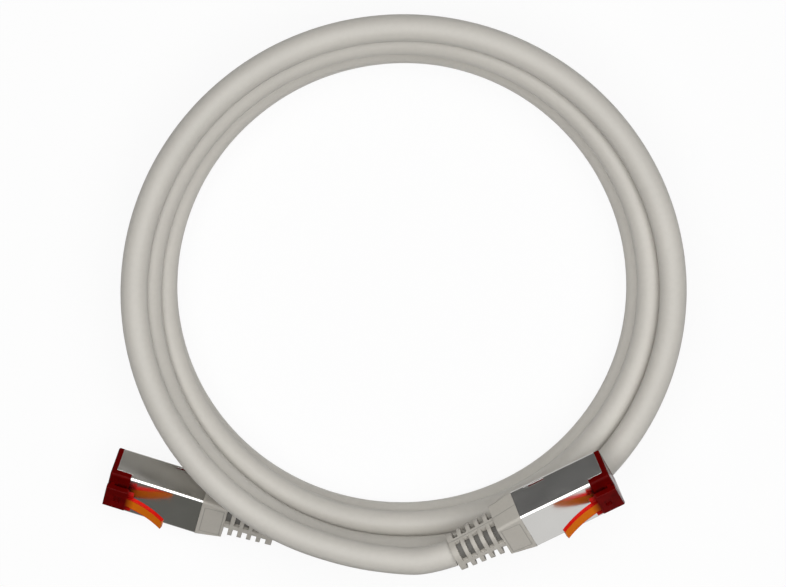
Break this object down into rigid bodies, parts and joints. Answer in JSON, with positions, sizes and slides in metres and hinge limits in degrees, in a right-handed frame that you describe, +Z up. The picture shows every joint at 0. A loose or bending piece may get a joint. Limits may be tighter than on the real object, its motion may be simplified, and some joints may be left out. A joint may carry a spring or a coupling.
{
  "type": "ethernet patch cable",
  "caption": "Grey shielded ethernet patch cable wound in a loose coil, with a nickel-shelled red modular plug and slotted strain relief boot at each end.",
  "frame": {"origin": "middle of the coil's open eye, on the surface the coil lies on", "axes": "+Z up out of the coil's plane; +X towards plug A's side, +Y away from the plugs"},
  "size_m": [0.1303, 0.1267, 0.0321],
  "materials": {
    "cable_jacket": "satin PVC, warm light grey",
    "boot_grey": "matte moulded PVC",
    "red_polycarbonate": "clear red, polished",
    "shield_plating": "polished nickel plate",
    "natural_nylon": "natural",
    "foil": "bright foil",
    "contact_gold": "gold plated, polished",
    "insulation_white_orange": "polyethylene insulation",
    "insulation_orange": "polyethylene insulation",
    "insulation_white_green": "polyethylene insulation",
    "insulation_blue": "polyethylene insulation",
    "insulation_white_blue": "polyethylene insulation",
    "insulation_green": "polyethylene insulation",
    "insulation_white_brown": "polyethylene insulation",
    "insulation_brown": "polyethylene insulation"
  },
  "bodies": {
    "root": {"cable_coil": "cable_jacket", "cable_lead_a": "cable_jacket", "cable_lead_b": "cable_jacket", "plug_a_housing": "red_polycarbonate", "plug_a_shield_shell": "shield_plating", "plug_a_wire_guide": "natural_nylon", "plug_a_foil_bundle": "foil", "plug_a_crimp_sleeve": "shield_plating", "plug_a_jacket_end": "cable_jacket", "plug_a_boot": "boot_grey", "plug_a_contact_1": "contact_gold", "plug_a_conductor_1": "insulation_white_orange", "plug_a_contact_2": "contact_gold", "plug_a_conductor_2": "insulation_orange", "plug_a_contact_3": "contact_gold", "plug_a_conductor_3": "insulation_white_green", "plug_a_contact_4": "contact_gold", "plug_a_conductor_4": "insulation_blue", "plug_a_contact_5": "contact_gold", "plug_a_conductor_5": "insulation_white_blue", "plug_a_contact_6": "contact_gold", "plug_a_conductor_6": "insulation_green", "plug_a_contact_7": "contact_gold", "plug_a_conductor_7": "insulation_white_brown", "plug_a_contact_8": "contact_gold", "plug_a_conductor_8": "insulation_brown", "plug_b_housing": "red_polycarbonate", "plug_b_shield_shell": "shield_plating", "plug_b_wire_guide": "natural_nylon", "plug_b_foil_bundle": "foil", "plug_b_crimp_sleeve": "shield_plating", "plug_b_jacket_end": "cable_jacket", "plug_b_boot": "boot_grey", "plug_b_contact_1": "contact_gold", "plug_b_conductor_1": "insulation_white_orange", "plug_b_contact_2": "contact_gold", "plug_b_conductor_2": "insulation_orange", "plug_b_contact_3": "contact_gold", "plug_b_conductor_3": "insulation_white_green", "plug_b_contact_4": "contact_gold", "plug_b_conductor_4": "insulation_blue", "plug_b_contact_5": "contact_gold", "plug_b_conductor_5": "insulation_white_blue", "plug_b_contact_6": "contact_gold", "plug_b_conductor_6": "insulation_green", "plug_b_contact_7": "contact_gold", "plug_b_conductor_7": "insulation_white_brown", "plug_b_contact_8": "contact_gold", "plug_b_conductor_8": "insulation_brown"},
    "latch_a": {"plug_a_latch": "red_polycarbonate"},
    "latch_b": {"plug_b_latch": "red_polycarbonate"}
  },
  "joints": [
    {"name": "latch_a_hinge", "type": "hinge", "parent": "root", "child": "latch_a", "pos_m": [0.0454, -0.04288, 0.0277], "axis": [0.3515, -0.573, -0.7403], "range_deg": [0, 7], "stiffness_Nm_per_rad": 0.02},
    {"name": "latch_b_hinge", "type": "hinge", "parent": "root", "child": "latch_b", "pos_m": [-0.06465, -0.04338, 0.00956], "axis": [0.199, 0.6389, 0.7431], "range_deg": [0, 7], "stiffness_Nm_per_rad": 0.02}
  ]
}
